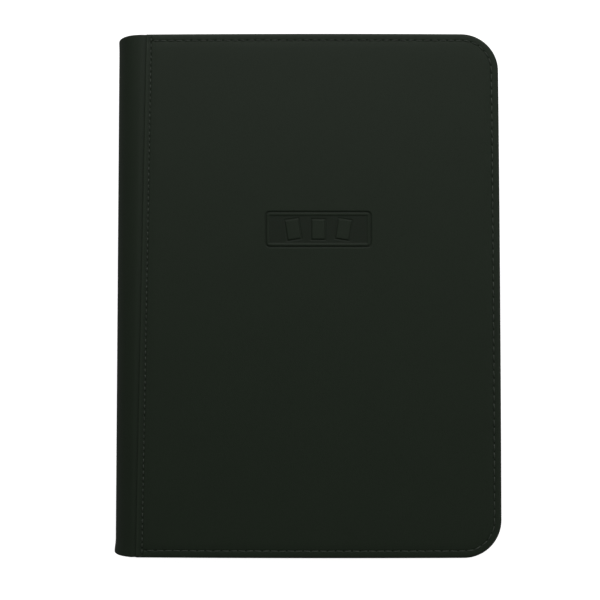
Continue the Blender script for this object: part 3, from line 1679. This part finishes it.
def crown(bm, sizes, pin):
    """The crown that holds the pull: an arch with a round eye."""
    foot = TAPE_INSET - HALF_H - sizes.clear - sizes.plate + 0.4 * MM
    rise = foot - pin.y
    radius = 2.0 * MM
    outer = []
    for x, y in round_about(0.0, 0.0, radius, 24):
        if y > 0:
            y *= rise / radius
            x *= 1 + 0.75 * smooth(y, 0.0, rise)
        outer.append((pin.x + x, pin.y + y))
    eye = round_about(pin.x, pin.y, 1.05 * MM, 24)
    low, high = MID_Z - sizes.crown / 2, MID_Z + sizes.crown / 2
    edges = collar(bm, outer, eye, low, high, lambda a, b, level: (a, b, level))
    soften(bm, 0.3 * MM, 2, 30, edges)


def tab_bmesh(sizes, pin):
    """The pull: a forked tab with a pin, a sunk panel and a round hole."""
    bm = bmesh.new()
    half_w = (PULL_HI.z - PULL_LO.z) / 2
    hole_x = PULL_HI.x - half_w
    arm = pin.x + 4.5 * MM
    outer = []
    for x, z in round_about(0.0, 0.0, half_w, 32):
        if x < 0:
            stretch = half_w / max(abs(x), abs(z))
            x, z = x * stretch * (hole_x - arm) / half_w, z * stretch
        outer.append((hole_x + x, MID_Z + z))
    hole = round_about(hole_x, MID_Z, half_w / 2, 32)
    edges = collar(
        bm, outer, hole, -sizes.pull / 2, sizes.pull / 2, lambda a, b, level: (a, level, b)
    )
    soften(bm, 0.35 * MM, 3, 30, edges)
    left, right = arm + 2.2 * MM, hole_x - half_w * 0.75
    across = half_w - 1.5 * MM
    planes = [((left, 0, 0), (1, 0, 0)), ((right, 0, 0), (1, 0, 0))]
    planes += [((0, 0, MID_Z + side * across), (0, 0, 1)) for side in (-1, 1)]
    for place, way in planes:
        bmesh.ops.bisect_plane(
            bm, geom=everything(bm), dist=1e-7, plane_co=place, plane_no=way
        )
    bm.normal_update()
    for side in (-1, 1):
        panel = [
            f for f in bm.faces
            if f.normal.y * side > 0.99
            and left < f.calc_center_median().x < right
            and abs(f.calc_center_median().z - MID_Z) < across
        ]
        bmesh.ops.inset_region(
            bm, faces=panel, thickness=0.35 * MM, depth=-0.3 * MM, use_boundary=True
        )
    fork_bm = bmesh.new()
    thick = 0.8 * MM
    for side in (-1, 1):
        a, b = sorted((side * 1.8 * MM, side * half_w))
        fork = [
            (pin.x - thick, -0.45 * MM), (pin.x - thick, 0.45 * MM), (pin.x, thick),
            (arm + MM, thick), (arm + MM, -thick), (pin.x, -thick),
        ]
        slab(fork_bm, fork, MID_Z + a, MID_Z + b, "Z")
    bmesh.ops.recalc_face_normals(fork_bm, faces=fork_bm.faces)
    soften(fork_bm, 0.3 * MM, 2, 35)
    made = bmesh.ops.create_cone(
        fork_bm, segments=20, radius1=0.9 * MM, radius2=0.9 * MM, depth=2 * half_w - 0.6 * MM,
        cap_ends=True,
    )
    bmesh.ops.translate(fork_bm, verts=made["verts"], vec=(pin.x, 0, MID_Z))
    add_shapes(bm, fork_bm)
    bmesh.ops.translate(bm, verts=bm.verts, vec=(0, pin.y, 0))
    return bm


def add_shapes(bm, other):
    """Puts what another bmesh holds into bm."""
    mesh = bpy.data.meshes.new("part")
    other.to_mesh(mesh)
    other.free()
    bm.from_mesh(mesh)
    bpy.data.meshes.remove(mesh)


def stop_bmesh(low, high, shrink):
    """A crimped metal stop that fills a box, with a waist pressed into it."""
    bm = bmesh.new()
    size = high - low
    bmesh.ops.create_cube(bm, size=1.0)
    long = max(range(3), key=lambda axis: size[axis])
    across = [e for e in bm.edges if abs((e.verts[0].co - e.verts[1].co)[long]) > 0.5]
    bmesh.ops.subdivide_edges(bm, edges=across, cuts=4)
    for vert in bm.verts:
        place = abs(vert.co[long])
        pinch = 1 - shrink * (1 - smooth(place, 0.05, 0.35))
        for axis in range(3):
            if axis != long:
                vert.co[axis] *= pinch
    bmesh.ops.scale(bm, verts=bm.verts, vec=size)
    bmesh.ops.translate(bm, verts=bm.verts, vec=(low + high) / 2)
    soften(bm, 0.45 * MM, 3, 50)
    return bm


class BINDER_OT_slider(bpy.types.Operator):
    """Make the zip's slider, its pull and the metal stops"""

    bl_idname = "binder.slider"
    bl_label = "Slider and stops"

    def execute(self, context):
        sizes = context.scene.binder_zip
        middle_x = (SLIDER_LO.x + SLIDER_HI.x) / 2
        pin = Vector((middle_x, (PULL_LO.y + PULL_HI.y) / 2, MID_Z))
        bm = slider_bmesh(sizes)
        arch = bmesh.new()
        crown(arch, sizes, pin)
        add_shapes(bm, arch)
        made = make_piece("zip_slider_body", bm, "plated_metal", 35)
        settle(made, "slider", "zip_metal", "zip_slider")
        made = make_piece("zip_pull_tab", tab_bmesh(sizes, pin), "plated_metal", 35)
        settle(made, "pull", "zip_metal", "zip_pull")
        for node, body in (
            ("zip_end_stop", "back_cover"),
            ("zip_top_stop_back", "back_cover"),
            ("zip_top_stop_front", "front_cover"),
        ):
            bm = stop_bmesh(*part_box(node), 0.16)
            made = make_piece(node + "_crimp", bm, "plated_metal", 35)
            settle(made, body, "zip_stop", node)
        return {"FINISHED"}


# ---------------------------------------------------------------- the stage


def area_light(name, place, target, size, power):
    """A soft square light that looks at a target."""
    data = bpy.data.lights.new(name, "AREA")
    data.shape = "RECTANGLE"
    data.size, data.size_y = size
    data.energy = power
    made = bpy.data.objects.new(name, data)
    made.location = place
    made.rotation_euler = (Vector(target) - Vector(place)).to_track_quat("-Z", "Y").to_euler()
    bpy.context.scene.collection.objects.link(made)


def room_light(tree, sizes):
    """Even light from all round, brighter from below, where the pale floor is."""
    nodes, links = tree.nodes, tree.links
    place = nodes.new("ShaderNodeTexCoord")
    split = nodes.new("ShaderNodeSeparateXYZ")
    level = nodes.new("ShaderNodeMapRange")
    level.inputs["From Min"].default_value = 0.05
    level.inputs["From Max"].default_value = -0.35
    level.inputs["To Min"].default_value = sizes.world
    level.inputs["To Max"].default_value = sizes.below
    links.new(place.outputs["Generated"], split.inputs[0])
    links.new(split.outputs["Z"], level.inputs["Value"])
    nodes["Background"].inputs["Color"].default_value = (1, 1, 1, 1)
    links.new(level.outputs[0], nodes["Background"].inputs["Strength"])


class BINDER_OT_stage(bpy.types.Operator):
    """Lay the floor, hang the lights and place the camera"""

    bl_idname = "binder.stage"
    bl_label = "Stage"

    def execute(self, context):
        sizes = context.scene.binder_studio
        bm = bmesh.new()
        bmesh.ops.create_grid(bm, x_segments=1, y_segments=1, size=sizes.room)
        bmesh.ops.translate(bm, verts=bm.verts, vec=(0, 0, -0.02 * MM))
        made = Finish("pale_floor")
        made.set(
            Base_Color=(0.8, 0.8, 0.8), Roughness=0.9,
            Emission_Color=(1.0, 1.0, 1.0), Emission_Strength=sizes.floor,
        )
        FINISHES["pale_floor"] = made.material
        floor = make_piece("floor", bm, "pale_floor")
        bm = bmesh.new()
        bmesh.ops.create_cone(
            bm, segments=64, radius1=sizes.room * 0.98, radius2=sizes.room * 0.98,
            depth=2 * sizes.room, cap_ends=False,
        )
        bmesh.ops.reverse_faces(bm, faces=bm.faces)
        backdrop = make_piece("backdrop", bm, "pale_floor")
        for made in (floor, backdrop):
            made.visible_glossy = False
            made.visible_diffuse = False
        world = bpy.data.worlds.new("room")
        world.use_nodes = True
        room_light(world.node_tree, sizes)
        context.scene.world = world
        area_light("head_light", (0.0, 1.2, 1.15), (0, 0, 0), (1.6, 0.9), sizes.key)
        area_light("side_light", (1.1, 0.1, 0.9), (0, 0, 0), (0.7, 0.9), sizes.key * 0.12)
        data = bpy.data.cameras.new("camera")
        data.lens = sizes.lens
        data.sensor_width = 36.0
        data.clip_start = 0.01
        camera = bpy.data.objects.new("camera", data)
        camera.location = sizes.camera
        camera.rotation_euler = sizes.tilt
        context.scene.collection.objects.link(camera)
        context.scene.camera = camera
        context.scene.view_settings.view_transform = "Standard"
        return {"FINISHED"}


# ---------------------------------------------------------------- the add-on


OPERATORS = (
    BINDER_OT_cover_leather,
    BINDER_OT_padding,
    BINDER_OT_linings,
    BINDER_OT_stitching,
    BINDER_OT_spine,
    BINDER_OT_leaves,
    BINDER_OT_pockets,
    BINDER_OT_zip,
    BINDER_OT_slider,
    BINDER_OT_stage,
)


class BINDER_PT_panel(bpy.types.Panel):
    """The binder's pieces and sizes"""

    bl_idname = "BINDER_PT_panel"
    bl_label = "Card binder"
    bl_space_type = "VIEW_3D"
    bl_region_type = "UI"
    bl_category = "Binder"

    def draw(self, context):
        layout = self.layout
        for operator in OPERATORS:
            layout.operator(operator.bl_idname)
        for name, group in GROUPS.items():
            box = layout.box()
            box.label(text=group.__doc__)
            for key in group.__annotations__:
                box.prop(getattr(context.scene, name), key)


def register():
    for group in GROUPS.values():
        bpy.utils.register_class(group)
    for name, group in GROUPS.items():
        setattr(bpy.types.Scene, name, bpy.props.PointerProperty(type=group))
    for operator in OPERATORS:
        bpy.utils.register_class(operator)
    bpy.utils.register_class(BINDER_PT_panel)


def unregister():
    bpy.utils.unregister_class(BINDER_PT_panel)
    for operator in reversed(OPERATORS):
        bpy.utils.unregister_class(operator)
    for name, group in GROUPS.items():
        delattr(bpy.types.Scene, name)
        bpy.utils.unregister_class(group)


def main():
    """Makes every piece in turn, and writes down both boxes."""
    register()
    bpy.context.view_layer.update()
    for operator in OPERATORS:
        area, name = operator.bl_idname.split(".")
        getattr(getattr(bpy.ops, area), name)()


if __name__ == "__main__":
    main()
